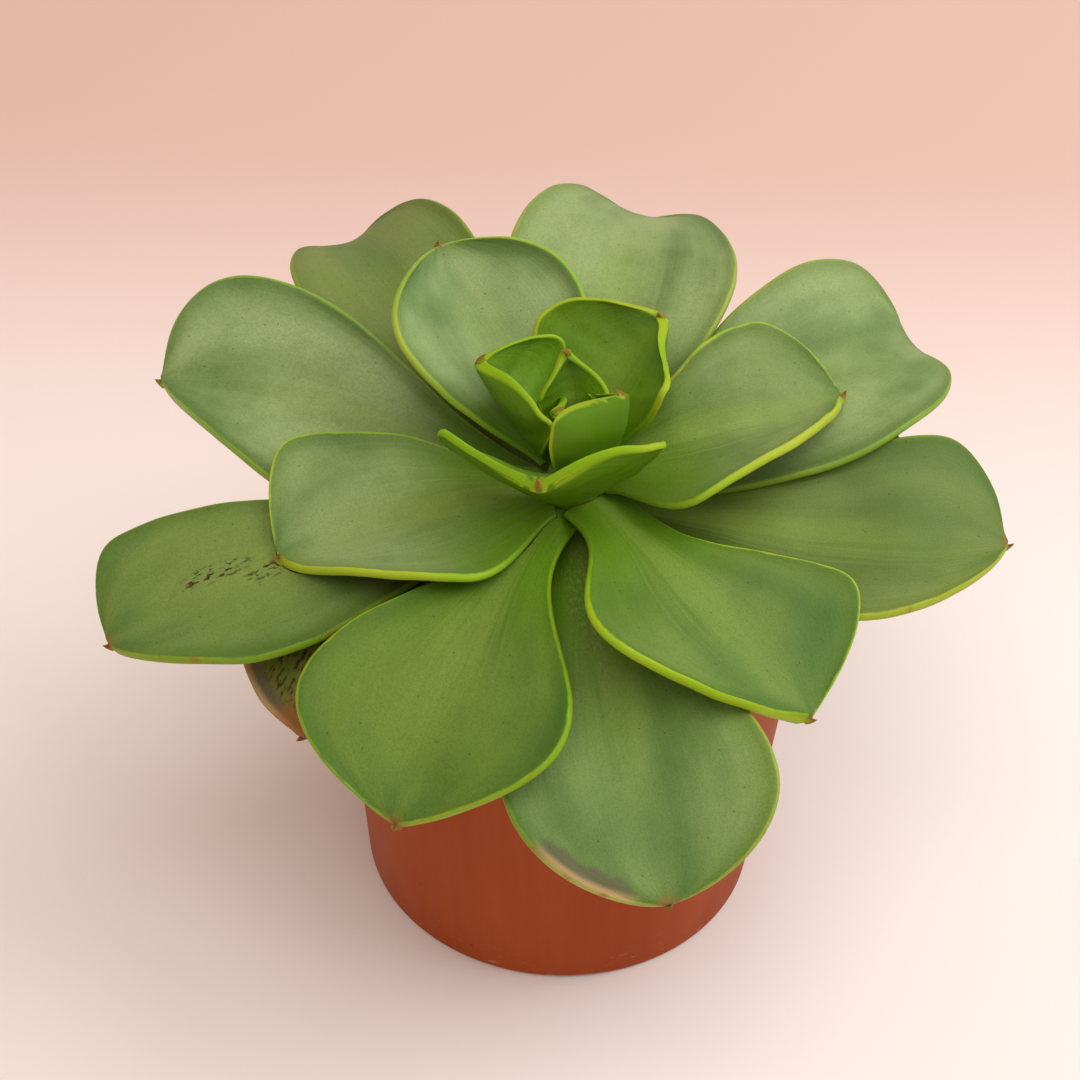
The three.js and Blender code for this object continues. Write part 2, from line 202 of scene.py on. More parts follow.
def crown_to_part(points):
    """Millimetres in the crown's frame to metres in the part's frame."""
    x, y, z = np.moveaxis(np.asarray(points, float), -1, 0)
    cosine, sine = math.cos(CROWN_LEAN), math.sin(CROWN_LEAN)
    return np.stack([x, y * cosine - z * sine, y * sine + z * cosine + CROWN_HEIGHT], axis=-1) * MM


class Midline:
    """The curve along a leaf's middle, from its seat on the stem to its tip."""

    def __init__(self, leaf):
        start = np.array([NECK_START, leaf.seat], float)
        if leaf.reach < BUD_REACH:
            start[0] = BUD_START
        end = np.array([leaf.reach, leaf.lift], float)
        span = np.linalg.norm(end - start)
        rise, tip_rise = math.radians(leaf.rise), math.radians(leaf.tip_rise)
        after = start + 0.42 * span * np.array([math.cos(rise), math.sin(rise)])
        before = end - 0.26 * span * np.array([math.cos(tip_rise), math.sin(tip_rise)])
        t = np.linspace(0, 1, 400)[:, None]
        self.flat = (
            (1 - t) ** 3 * start + 3 * (1 - t) ** 2 * t * after + 3 * (1 - t) * t**2 * before + t**3 * end
        )
        steps = np.linalg.norm(np.diff(self.flat, axis=0), axis=1)
        run = np.concatenate([[0], np.cumsum(steps)])
        self.length = run[-1]
        self.run = run / self.length
        bearing = math.radians(leaf.bearing)
        self.outward = np.array([math.cos(bearing), math.sin(bearing), 0])
        self.sideways = np.array([-math.sin(bearing), math.cos(bearing), 0])
        self.sway = leaf.sway

    def at(self, s):
        out = np.interp(s, self.run, self.flat[:, 0])
        up = np.interp(s, self.run, self.flat[:, 1])
        bow = self.sway * np.sin(math.pi * s)
        point = out[..., None] * self.outward + bow[..., None] * self.sideways
        point[..., 2] += up
        return point


def half_width(leaf, fraction, side):
    """Half the blade's width on one side: a narrow neck, a broad blade and a blunt end."""
    neck = leaf.neck / leaf.width
    widest = leaf.widest + side * leaf.skew
    grown = np.sin(math.pi / 2 * np.minimum(fraction / widest, 1) ** OPENING) ** leaf.flare
    base = leaf.width / 2 * (neck + (1 - neck) * grown)
    past = np.clip((fraction - widest) / (1 - widest), 0, 1)
    late = np.maximum(EARLIEST, widest - USUAL)
    shoulder = SHOULDER + SQUARER * late
    bluntness = leaf.blunt * (1 - ROUNDER * late)
    end = np.maximum(MUCRO_RADIUS, leaf.width / 2 * (1 - past**shoulder) ** bluntness)
    return np.where(fraction < widest, base, end)


def blade_section(half_count):
    """One ring round a blade: each point's place across, -1 to 1, and its face, 1 above, -1 below."""
    row = np.sin(np.linspace(-math.pi / 2, math.pi / 2, half_count))
    across = np.concatenate([row, row[-2:0:-1]])
    face = np.concatenate([np.ones(half_count), -np.ones(half_count - 2)])
    face[0] = face[half_count - 1] = 0
    return across[None, :], face[None, :]


def blade_stations(count, length):
    """Where the rings lie along a blade that ends in a small point.

    Returns each ring's share of the whole length, its fraction of the blade without the point, and how
    much the point narrows it, then the share at which the point starts.
    """
    point_start = 1 - min(MUCRO_LENGTH / length, MUCRO_SHARE)
    blade = 1 - (1 - np.linspace(0, 1, count)) ** 1.8
    point = np.array([0.3, 0.55, 0.78, 0.93])
    s = np.concatenate([blade * point_start, point_start + (1 - point_start) * point])
    fraction = np.concatenate([blade, np.ones(len(point))])
    taper = np.concatenate([np.ones(count), (1 - point) ** 0.5])
    return s[:, None], fraction[:, None], taper[:, None], point_start


def blade_depth(leaf, margin, s, across, half, edge, taper):
    """Half the blade's thickness: a rounded margin of even thickness and a fuller middle."""
    body = leaf.thick * (1 - 0.35 * s) * (1 - across**2) * taper
    rim = np.minimum(margin, 0.9 * half) * min(1, (leaf.thick / FULL_THICK) ** 1.5)
    rounding = np.sqrt(1 - (1 - np.clip(edge / (rim / 2), 0, 1)) ** 2)
    bead = 0.12 * np.exp(-(((edge - 0.45 * margin) / (0.35 * margin)) ** 2)) * smooth_step(s, 0.15, 0.4)
    full = np.maximum(rim, np.minimum(body + 0.4 * rim, 1.4 * half))
    return full * rounding / 2 + bead * taper


def blade_shift(leaf, settings, seed, s, across, sideways, taper):
    """How far the blade's middle surface is raised: a fold, a waved margin and soft swellings."""
    rng = random.Random(seed)
    groove = settings.crease / MM * smooth_step(s, 0.25, 0.95) * taper
    fold = -groove * np.exp(-((sideways / (0.16 * leaf.width)) ** 2))
    waves = settings.ripple / MM * smooth_step(s, 0.3, 0.6) * taper * np.abs(across) ** 3
    turns, phase = rng.uniform(1.4, 2.4), rng.uniform(0, 1)
    wave = waves * np.sin(2 * math.pi * (turns * s + phase + 0.25 * np.sign(across)))
    lumps = np.array([
        [noise.noise(Vector((x / 11 + seed * 7, 9 * t, seed))) for x in row]
        for row, t in zip(sideways, s[:, 0])
    ])
    return fold + wave + settings.lump / MM * lumps * smooth_step(s, 0.1, 0.3) * taper


def margin_distance(leaf, blade_length, flat):
    """Distance from each point of the flattened blade to its outline."""
    fraction = np.linspace(0, 1, 300)
    sides = [np.stack([side * half_width(leaf, fraction, side), fraction * blade_length], -1)
             for side in (-1, 1)]
    return np.linalg.norm(flat[:, :, None, :] - np.concatenate(sides), axis=-1).min(-1)


def make_blade(leaf, settings, seed):
    """A leaf's untrimmed blade in the crown's frame, in millimetres: points, faces, places and length.

    A place holds across, along and face, then the distances to the middle, from the neck and from the
    margin on the flattened blade. The neck's end and the tip are the last two points.
    """
    middle = Midline(leaf)
    across, face = blade_section(settings.rounds)
    s, fraction, taper, point_start = blade_stations(settings.stations, middle.length)

    centre = middle.at(s[:, 0])
    along = unit(middle.at(np.minimum(s[:, 0] + 0.01, 1)) - middle.at(np.maximum(s[:, 0] - 0.01, 0)))
    lateral = unit(middle.sideways - (along @ middle.sideways)[:, None] * along)
    roll = math.radians(leaf.roll)
    lateral = lateral * math.cos(roll) + np.cross(along, lateral) * math.sin(roll)
    normal = np.cross(along, lateral)

    half = half_width(leaf, fraction, across) * taper
    cup = NECK_CUP + (math.radians(leaf.cup) - NECK_CUP) * smooth_step(s, 0, 0.5)
    slope = cup * across
    out, up = np.sin(slope) / cup, (1 - np.cos(slope)) / cup
    sideways = half * across
    edge = half * (1 - np.abs(across))
    depth = face * blade_depth(leaf, settings.margin / MM, s, across, half, edge, taper)
    shift = blade_shift(leaf, settings, seed, s, across, sideways, taper)
    grid = (
        centre[:, None, :]
        + lateral[:, None, :] * (half * out - depth * np.sin(slope))[..., None]
        + normal[:, None, :] * (half * up + depth * np.cos(slope) + shift)[..., None]
    )

    shape = half.shape
    flat = np.stack([sideways, np.broadcast_to(s * middle.length, shape)], -1)
    gaps = np.minimum(margin_distance(leaf, point_start * middle.length, flat), edge) * np.abs(face)
    rows = [np.broadcast_to(v, shape) for v in (across, s, face, flat[..., 0], flat[..., 1], gaps)]
    ends = [(0, 0, 0, 0, 0, 0), (0, 1, 0, 0, middle.length, 0)]
    points = np.concatenate([grid.reshape(-1, 3), middle.at(np.array([0.0, 1.0]))])
    places = np.concatenate([np.stack(rows, -1).reshape(-1, 6), ends])
    return points, closed_rings(*shape), places, middle.length


def closed_rings(rings, around):
    """Faces of a tube of rings closed by one point at each end; the two ends come last."""
    faces = []
    for i in range(rings - 1):
        for j in range(around):
            a, b = i * around + j, i * around + (j + 1) % around
            faces.append((a, b, b + around, a + around))
    first, last = rings * around, rings * around + 1
    top = (rings - 1) * around
    for j in range(around):
        k = (j + 1) % around
        faces.append((k, j, first))
        faces.append((top + j, top + k, last))
    return faces


def new_piece(name, points, faces):
    mesh = bpy.data.meshes.new(name)
    mesh.from_pydata([tuple(p) for p in points], [], [tuple(f) for f in faces])
    mesh.validate()
    piece = bpy.data.objects.new(name, mesh)
    bpy.context.scene.collection.objects.link(piece)
    return piece


def face_outwards(mesh):
    work = bmesh.new()
    work.from_mesh(mesh)
    bmesh.ops.recalc_face_normals(work, faces=work.faces)
    work.to_mesh(mesh)
    work.free()


def swollen(piece, distance):
    """A copy of a piece with its surface moved outwards."""
    copy = piece.copy()
    copy.data = piece.data.copy()
    bpy.context.scene.collection.objects.link(copy)
    points = np.array([v.co for v in piece.data.vertices])
    normals = np.array([v.vector for v in piece.data.vertex_normals])
    copy.data.vertices.foreach_set("co", (points + normals * distance).astype(np.float32).ravel())
    copy.data.update()
    return copy


def tree_of(piece):
    mesh = piece.data
    return BVHTree.FromPolygons([v.co for v in mesh.vertices], [tuple(p.vertices) for p in mesh.polygons])


def cut_by(piece, cutters):
    """Takes the cutters away from a piece and keeps its largest part."""
    for cutter in cutters:
        trim = piece.modifiers.new("trim", "BOOLEAN")
        trim.operation = "DIFFERENCE"
        trim.solver = "MANIFOLD"
        trim.object = cutter
    graph = bpy.context.evaluated_depsgraph_get()
    result = bpy.data.meshes.new_from_object(piece.evaluated_get(graph))
    piece.modifiers.clear()
    old = piece.data
    result.name = old.name
    piece.data = result
    bpy.data.meshes.remove(old)
    keep_largest(piece.data)


def keep_largest(mesh):
    work = bmesh.new()
    work.from_mesh(mesh)
    bmesh.ops.remove_doubles(work, verts=work.verts, dist=0.002 * MM)
    unseen = set(work.verts)
    islands = []
    while unseen:
        start = unseen.pop()
        island, edge = {start}, [start]
        while edge:
            for link in edge.pop().link_edges:
                for vert in link.verts:
                    if vert in unseen:
                        unseen.discard(vert)
                        island.add(vert)
                        edge.append(vert)
        islands.append(island)
    largest = max(islands, key=len)
    extra = [v for island in islands if island is not largest for v in island]
    bmesh.ops.delete(work, geom=extra, context="VERTS")
    work.to_mesh(mesh)
    work.free()


def add_vectors(mesh, name, values):
    layer = mesh.attributes.new(name, "FLOAT_VECTOR", "POINT")
    layer.data.foreach_set("vector", np.asarray(values, np.float32).ravel())


def carry_over(mesh, points, faces, values):
    """Values at a trimmed mesh's vertices, read off the nearest place on the untrimmed blade."""
    tree = BVHTree.FromPolygons(points, faces)
    found = []
    for vert in mesh.vertices:
        place, _, index, _ = tree.find_nearest(vert.co)
        face = faces[index]
        weights = poly_3d_calc([points[i] for i in face], place)
        found.append(sum(w * values[i] for w, i in zip(weights, face)))
    return np.array(found)


def smooth(piece, angle=40):
    mesh = piece.data
    mesh.shade_smooth()
    mesh.set_sharp_from_angle(angle=math.radians(angle))


# ---- Materials ----------------------------------------------------------------------------


class Skin:
    """A material under construction. Its methods add nodes and return their outputs."""

    def __init__(self, name):
        self.material = bpy.data.materials.new(name)
        self.material.use_nodes = True
        self.nodes = self.material.node_tree.nodes
        self.links = self.material.node_tree.links
        self.shader = self.nodes["Principled BSDF"]

    def plug(self, socket, value):
        if isinstance(value, bpy.types.NodeSocket):
            self.links.new(value, socket)
        elif socket.type == "RGBA":
            socket.default_value = (*value[:3], 1)
        else:
            socket.default_value = value

    def attribute(self, name):
        node = self.nodes.new("ShaderNodeAttribute")
        node.attribute_name = name
        return node.outputs["Vector"]

    def object_place(self):
        return self.nodes.new("ShaderNodeTexCoord").outputs["Object"]

    def split(self, vector):
        node = self.nodes.new("ShaderNodeSeparateXYZ")
        self.plug(node.inputs[0], vector)
        return node.outputs

    def math(self, operation, first, second=0.0):
        node = self.nodes.new("ShaderNodeMath")
        node.operation = operation
        self.plug(node.inputs[0], first)
        self.plug(node.inputs[1], second)
        return node.outputs[0]

    def add(self, first, second):
        return self.math("ADD", first, second)

    def minus(self, first, second):
        return self.math("SUBTRACT", first, second)

    def times(self, first, second):
        return self.math("MULTIPLY", first, second)

    def square(self, value):
        return self.times(value, value)

    def unsigned(self, value):
        return self.math("ABSOLUTE", value)

    def wander(self, value, cloud, reach):
        """A value that strays by half the reach to either side as a cloud goes from 0 to 1."""
        return self.add(value, self.times(self.minus(cloud, 0.5), reach))

    def vector_math(self, operation, vector, by):
        node = self.nodes.new("ShaderNodeVectorMath")
        node.operation = operation
        self.plug(node.inputs[0], vector)
        self.plug(node.inputs[1], by)
        return node.outputs[0]

    def scaled(self, vector, scale):
        return self.vector_math("MULTIPLY", vector, scale)

    def moved(self, vector, offset):
        return self.vector_math("ADD", vector, offset)

    def between(self, value, low, high, start=0.0, end=1.0):
        """Eases from start to end while value goes from low to high."""
        node = self.nodes.new("ShaderNodeMapRange")
        node.interpolation_type = "SMOOTHSTEP"
        for socket, given in zip(node.inputs, (value, low, high, start, end)):
            self.plug(socket, given)
        return node.outputs[0]

    def cloud(self, vector, scale, detail=3.0, roughness=0.55):
        """Soft noise from 0 to 1."""
        node = self.nodes.new("ShaderNodeTexNoise")
        self.plug(node.inputs["Vector"], vector)
        self.plug(node.inputs["Scale"], scale)
        self.plug(node.inputs["Detail"], detail)
        self.plug(node.inputs["Roughness"], roughness)
        return node.outputs["Fac"]

    def cells(self, vector, scale):
        """Distance to the nearest of many scattered points, and that point's own number."""
        node = self.nodes.new("ShaderNodeTexVoronoi")
        self.plug(node.inputs["Vector"], vector)
        self.plug(node.inputs["Scale"], scale)
        return node.outputs["Distance"], self.split(node.outputs["Color"])[0]

    def blend(self, share, first, second):
        node = self.nodes.new("ShaderNodeMix")
        node.data_type = "RGBA"
        self.plug(node.inputs["Factor"], share)
        self.plug(node.inputs[6], first)
        self.plug(node.inputs[7], second)
        return node.outputs[2]

    def bump(self, height, distance, strength=1.0, normal=None):
        node = self.nodes.new("ShaderNodeBump")
        self.plug(node.inputs["Height"], height)
        node.inputs["Distance"].default_value = distance
        node.inputs["Strength"].default_value = strength
        if normal is not None:
            self.plug(node.inputs["Normal"], normal)
        return node.outputs["Normal"]

    def set(self, **values):
        """Sets the shader's own sockets; a name's underscores stand for spaces."""
        for name, value in values.items():
            self.plug(self.shader.inputs[name.replace("_", " ")], value)
        return self.material


class LeafSkin(Skin):
    """Waxy leaf skin: bloom, fresh neck, veins, pores, pale margin, brown tip and the leaf's marks.

    across, along and face are the place on the blade; x, y and edge are its distances to the middle,
    from the neck and from the margin, in millimetres.
    """

    PORE = (0.015, 0.035, 0.01)
    GRAIN = (0.02, 0.05, 0.005)
    SPECK = (0.05, 0.022, 0.008)
    SCURF = (0.34, 0.4, 0.15)
    BRUISE = (0.1, 0.08, 0.05)
    FRAYED = (0.42, 0.27, 0.12)
    TIP_CORE = (0.09, 0.03, 0.012)

    def __init__(self, name, leaf, look, length, settings):
        super().__init__(f"{name}_skin")
        self.leaf, self.look, self.length, self.settings = leaf, look, length, settings
        place, self.flat = self.attribute("place"), self.attribute("flat")
        self.across, self.along, self.face = self.split(place)
        self.x, self.y, self.edge = self.split(self.flat)
        seed = sum(map(ord, self.material.name)) % 97
        plan = self.scaled(self.flat, (1.0, 1.0, 0.0))
        self.plan = self.moved(plan, (seed * 13.0, seed * 5.0, seed * 3.0))
        blade = self.moved(self.scaled(place, (1.4, 2.0, 0.0)), (seed * 3.0, seed * 7.0, seed * 2.0))
        self.broad = self.cloud(blade, 1.0, 2.0, 0.45)
        self.patchy = self.cloud(self.plan, 0.22, 4.0, 0.6)
        self.fine = self.cloud(self.plan, 2.4, 4.0, 0.7)
        self.veins = self.cloud(self.scaled(place, (17.0, 1.2, 0.0)), 1.0, 3.0, 0.55)
        self.pores = self.scattered_pores()
        self.ragged_edge = self.margin_scale()
        self.rim = self.pale_rim()

    def scattered_pores(self):
        dots, number = self.cells(self.plan, 0.42)
        return self.times(self.between(dots, 0.12, 0.05), self.between(number, 0.55, 0.6))

    def margin_scale(self):
        """Distance from the margin, uneven along it, in widths of the pale band."""
        heart = self.leaf.lift > HEART_LIFT
        band = self.between(self.face, -0.7, 0.4, 0.5 if heart else 1.1, 0.5)
        return self.math("DIVIDE", self.wander(self.edge, self.patchy, 0.3 if heart else 0.8), band)

    def pale_rim(self):
        """Share of the pale margin, which fades towards the neck."""
        rim = self.between(self.ragged_edge, 1.5, 0.5)
        return self.times(rim, self.between(self.along, 0.08, 0.35, 0.25, 1.0))

    def finish(self):
        color = self.waxed(self.blend(
            self.between(self.broad, 0.3, 0.7), self.settings.deep_green, self.settings.mid_green
        ))
        color = self.freshened(color)
        color = self.veined(color)
        color = self.pitted(color)
        # undersides take the underside green, which also holds painted shade
        color = self.blend(self.between(self.face, -0.6, 0.6), self.underside(), color)
        color = self.marked(color)
        color = self.edged(color)
        color = self.tipped(color)
        rough = self.add(self.between(self.patchy, 0.3, 0.7, 0.46, 0.58), self.times(self.rim, -0.08))
        bloom = self.look.bloom
        return self.set(
            Base_Color=color,
            Roughness=rough,
            Normal=self.relief(),
            Specular_IOR_Level=0.1 + 0.16 * bloom,
            Subsurface_Weight=0.18,
            Subsurface_Radius=(0.5, 1.0, 0.2),
            Subsurface_Scale=1.8 * MM,
            Sheen_Weight=0.1 * bloom,
            Sheen_Roughness=0.45,
            Sheen_Tint=(0.75, 0.9, 0.85),
        )

    def waxed(self, color):
        """Blue-grey wax in broad drifts, thinner at the neck and along the margin."""
        drift = self.add(self.broad, self.times(self.patchy, 0.16))
        wax = self.times(self.between(drift, 0.2, 0.7), self.look.bloom)
        wax = self.times(wax, self.between(self.along, 0.15, 0.5))
        wax = self.times(wax, self.between(self.edge, 0.0, 5.0, 0.35, 1.0))
        return self.blend(wax, color, self.settings.bloom_green)

    def freshened(self, color):
        """Fresh green from the neck upwards, then the olive that comes with age."""
        look = self.look
        if look.lime:
            reach = self.wander(self.along, self.veins, 0.25)
            fresh = self.times(self.between(reach, look.lime * 1.7, 0.05), 0.85)
            color = self.blend(fresh, color, self.settings.fresh_green)
        return self.blend(look.olive * 0.5 + 0.4 * look.olive**4, color, self.settings.olive)

    def veined(self, color):
        """Streaks of wax along the veins, a cooler end and paler streaks up the middle."""
        streaks = self.times(self.between(self.veins, 0.4, 0.75, 0.0, 0.2), self.look.bloom)
        streaks = self.times(streaks, self.between(self.along, 0.95, 0.6, 0.2, 1.0))
        color = self.blend(streaks, color, self.settings.bloom_green)
        cool = self.times(self.between(self.along, 0.5, 0.98), self.between(self.broad, 0.65, 0.35))
        color = self.blend(self.times(cool, 0.5), color, self.settings.cool_green)
        middle = self.between(self.unsigned(self.wander(self.across, self.veins, 0.9)), 0.42, 0.0)
        middle = self.times(middle, self.between(self.along, 0.95, 0.35, 0.0, 0.5))
        return self.blend(middle, color, self.settings.midrib_green)

    def pitted(self, color):
        """Faint darker patches, a fine dark grain and scattered pores."""
        color = self.blend(self.between(self.patchy, 0.6, 0.35, 0.0, 0.07), color, self.settings.deep_green)
        color = self.blend(self.between(self.fine, 0.25, 0.65, 0.3, 0.0), color, self.GRAIN)
        return self.blend(self.times(self.pores, 0.45), color, self.PORE)

    # The underside's own green, made darker as painted shade so the outer faces of the heart leaves look
    # shaded.
    def underside(self):
        patches = self.between(self.patchy, 0.3, 0.8, 0.0, 0.35)
        return self.blend(patches, self.settings.underside_and_shade_green, self.settings.mid_green)

    def marked(self, color):
        """The leaf's own marks."""
        lay = {"specks": self.specks, "scurf": self.scurf, "bruise": self.bruise}
        for mark in self.look.marks:
            side = half_width(self.leaf, np.array(mark.along), np.sign(mark.across) or 1)
            dx = self.math("DIVIDE", self.minus(self.x, mark.across * float(side)), mark.breadth)
            dy = self.math("DIVIDE", self.minus(self.y, mark.along * self.length), mark.length)
            patch = self.between(self.add(self.square(dx), self.square(dy)), 1.0, 0.2)
            color = lay[mark.kind](color, patch)
        return color

    def specks(self, color, patch):
        grain = self.cloud(self.scaled(self.flat, (1.1, 0.45, 0.0)), 1.0, 4.0, 0.6)
        return self.blend(self.times(patch, self.between(grain, 0.5, 0.6)), color, self.SPECK)

    def scurf(self, color, patch):
        grain = self.cloud(self.scaled(self.flat, (1.3, 0.8, 0.0)), 1.0, 3.0, 0.6)
        share = self.times(patch, self.between(grain, 0.42, 0.72))
        return self.blend(self.times(share, 0.4), color, self.SCURF)

    def bruise(self, color, patch):
        """A grey-brown patch along the margin, whose very edge has dried."""
        grain = self.cloud(self.scaled(self.flat, (0.35, 0.5, 0.0)), 1.0, 4.0, 0.6)
        patch = self.times(patch, self.between(self.edge, 6.5, 2.0))
        share = self.between(self.add(patch, self.times(grain, 0.7)), 0.6, 1.2)
        color = self.blend(self.times(share, 0.75), color, self.BRUISE)
        frayed = self.times(patch, self.between(self.edge, 2.2, 0.8))
        return self.blend(self.times(frayed, 0.8), color, self.FRAYED)

    def edged(self, color):
        """The pale margin and the brown that creeps along it."""
        pale = self.blend(
            self.between(self.broad, 0.35, 0.7), self.settings.margin_green, self.settings.margin_yellow
        )
        color = self.blend(self.times(self.rim, self.look.rim), color, pale)
        rust = self.add(self.cloud(self.plan, 0.35, 5.0, 0.7), self.look.rust * 0.3)
        rust = self.times(self.between(self.ragged_edge, 1.4, 0.5), self.between(rust, 0.62, 0.85))
        rust = self.times(rust, self.between(self.along, 0.4, 0.7))
        return self.blend(self.times(rust, 0.75), color, self.settings.tip_brown)

    def tipped(self, color):
        """The browned tip with its darker core."""
        reach = self.look.tip
        rest = self.minus(self.length, self.y)
        off = self.math("POWER", self.add(self.square(self.x), self.square(rest)), 0.5)
        off = self.wander(off, self.patchy, reach)
        browned = self.between(off, reach, reach * 0.2)
        color = self.blend(self.times(browned, 0.8), color, self.settings.tip_brown)
        core = self.between(off, reach * 0.35, reach * 0.05)
        return self.blend(self.times(core, 0.4), color, self.TIP_CORE)

    def relief(self):
        """Sunken pores, a finely pebbled skin and soft ribs over the veins."""
        dimple = self.bump(self.times(self.pores, -1.0), 0.12 * MM, 0.6)
        pebble = self.bump(self.cloud(self.plan, 2.2, 2.0, 0.5), 0.06 * MM, 0.5, dimple)
        return self.bump(self.veins, 0.35 * MM, 0.45, pebble)


def pot_plastic(settings):
    """Satin moulded plastic with faint flow marks, specks and scuffs near the foot."""
    skin = Skin("terracotta_plastic")
    place = skin.object_place()
    height = skin.split(place)[2]
    broad = skin.cloud(skin.scaled(place, (1.0, 1.0, 0.35)), 28.0, 3.0, 0.5)
    flow = skin.cloud(skin.scaled(place, (1.0, 1.0, 0.06)), 420.0, 2.0, 0.5)
    grain = skin.cloud(place, 2600.0, 2.0, 0.5)
    color = skin.blend(skin.between(broad, 0.3, 0.7), settings.color, settings.shade)
    color = skin.blend(skin.between(flow, 0.35, 0.7, 0.0, 0.10), color, settings.highlight)
    dots, number = skin.cells(place, 260.0)
    specks = skin.times(skin.between(dots, 0.16, 0.08), skin.between(number, 0.90, 0.93))
    color = skin.blend(skin.times(specks, 0.55), color, (0.07, 0.018, 0.008))
    scratch = skin.cloud(skin.scaled(place, (1.0, 1.0, 5.0)), 150.0, 5.0, 0.7)
    scuffs = skin.times(skin.between(scratch, 0.60, 0.68), skin.between(height, 14 * MM, 1 * MM))
    color = skin.blend(skin.times(scuffs, 0.45), color, (0.55, 0.36, 0.27))
    rough = skin.add(skin.between(broad, 0.3, 0.7, 0.46, 0.58), skin.times(scuffs, 0.2))
    fine = skin.bump(grain, 0.03 * MM, 0.5)
    normal = skin.bump(flow, 0.03 * MM, 0.4, fine)
    return skin.set(Base_Color=color, Roughness=rough, Normal=normal, Specular_IOR_Level=0.14)


def potting_mix(settings):
    """Dark crumbly potting mix with paler fibres."""
    skin = Skin("potting_mix")
    place = skin.object_place()
    crumbs, number = skin.cells(place, 420.0)
    grain = skin.cloud(place, 900.0, 4.0, 0.7)
    damp = skin.cloud(place, 60.0, 2.0, 0.5)
    color = skin.blend(number, settings.dark, settings.brown)
    color = skin.blend(skin.between(grain, 0.45, 0.75, 0.0, 0.5), color, settings.fibre)
    color = skin.blend(skin.between(damp, 0.4, 0.6, 0.45, 0.0), color, settings.dark)
    height = skin.add(skin.times(crumbs, -0.8), grain)
    rough = skin.between(damp, 0.3, 0.7, 0.8, 0.95)
    return skin.set(Base_Color=color, Roughness=rough, Normal=skin.bump(height, 1.2 * MM, 0.9))


def crumb_coat(settings):
    """Loose bits on the soil: mostly bark and peat, a few pale grains of perlite."""
    skin = Skin("loose_crumbs")
    kind = skin.split(skin.attribute("kind"))[0]
    grain = skin.cloud(skin.object_place(), 1500.0, 3.0, 0.7)
    color = skin.blend(skin.between(kind, 0.0, 0.85), settings.dark, settings.fibre)
    color = skin.blend(skin.between(grain, 0.4, 0.7, 0.0, 0.5), color, settings.brown)
    color = skin.blend(skin.between(kind, 0.90, 0.92), color, (0.62, 0.58, 0.5))
    return skin.set(Base_Color=color, Roughness=0.9, Normal=skin.bump(grain, 0.4 * MM, 0.8))


def stem_bark(settings):
    """Short green stem, corky lower down, with paler leaf scars."""
    skin = Skin("stem_bark")
    place = skin.object_place()
    height = skin.split(place)[2]
    grain = skin.cloud(skin.scaled(place, (1.0, 1.0, 0.5)), 400.0, 4.0, 0.65)
    rings = skin.cloud(skin.scaled(place, (0.3, 0.3, 2.0)), 160.0, 3.0, 0.6)
    color = skin.blend(skin.between(height, 88 * MM, 112 * MM), settings.cork, settings.green)
    color = skin.blend(skin.between(grain, 0.35, 0.7, 0.0, 0.6), color, settings.scar)
    color = skin.blend(skin.between(rings, 0.5, 0.62, 0.0, 0.4), color, settings.cork)
    normal = skin.bump(skin.add(grain, rings), 0.8 * MM, 0.8)
    return skin.set(Base_Color=color, Roughness=0.78, Normal=normal)


def floor_paper(settings):
    """Matt pale paper, with painted shade that deepens its tone towards the back."""
    skin = Skin("floor_paper")
    place = skin.object_place()
    depth = skin.split(place)[1]
    mottle = skin.cloud(place, 6.0, 2.0, 0.5)
    # painted shade: the floor turns to the back colour behind the pot, where a backdrop would get less
    # light
    turned = skin.between(depth, settings.turn, settings.turn + 280 * MM)
    color = skin.blend(turned, settings.color, settings.back)
    color = skin.blend(skin.between(mottle, 0.3, 0.7, 0.0, 0.06), color, settings.back)
    normal = skin.bump(skin.cloud(place, 1800.0, 2.0, 0.5), 0.04 * MM, 0.4)
    return skin.set(Base_Color=color, Roughness=0.9, Normal=normal, Specular_IOR_Level=0.15)


# ---- Settings -----------------------------------------------------------------------------


def color_setting(name, description, default):
    return FloatVectorProperty(
        name=name, description=description, subtype="COLOR", size=3, min=0, max=1, default=default
    )


def length_setting(name, description, default, **limits):
    return FloatProperty(
        name=name, description=description, unit="LENGTH", subtype="DISTANCE", default=default, **limits
    )


class SucculentLeafSettings(PropertyGroup):
    """Sizes and colours of the leaves."""

    margin: length_setting("Margin", "Thickness of the rounded leaf margin", 1.9 * MM, min=0.5 * MM)
    crease: length_setting("Crease", "Depth of the fold along the middle near the tip", 2.0 * MM, min=0)
    ripple: length_setting("Ripple", "Height of the waves along the margin", 0.7 * MM, min=0)
    lump: length_setting("Lump", "Height of the soft swellings of the skin", 0.6 * MM, min=0)
    stations: IntProperty(name="Stations", description="Rings along a blade", default=56, min=12)
    rounds: IntProperty(name="Rounds", description="Points across one face", default=33, min=7)
    deep_green: color_setting("Deep green", "Darkest green of the skin", (0.052, 0.118, 0.007))
    mid_green: color_setting("Mid green", "Usual green of the skin", (0.118, 0.198, 0.015))
    bloom_green: color_setting("Bloom", "Blue-grey wax on the skin", (0.31, 0.41, 0.16))
    fresh_green: color_setting("Fresh green", "Bright green near the neck", (0.12, 0.26, 0.002))
    cool_green: color_setting("Cool green", "Bluer green towards the tip", (0.075, 0.175, 0.032))
    midrib_green: color_setting("Midrib", "Paler streaks along the middle", (0.22, 0.31, 0.05))
    # Underside: the leaf's own underside green, darkened further as painted shade.
    underside_and_shade_green: color_setting("Underside", "Green of the leaf's underside", (0.075, 0.175, 0.002))
    olive: color_setting("Olive", "Tone that old leaves turn to", (0.14, 0.13, 0.02))
    margin_green: color_setting("Margin green", "Greener parts of the margin", (0.26, 0.45, 0.004))
    margin_yellow: color_setting("Margin yellow", "Yellower parts of the margin", (0.43, 0.50, 0.02))
    tip_brown: color_setting("Tip", "Browned tip and margin", (0.26, 0.095, 0.02))


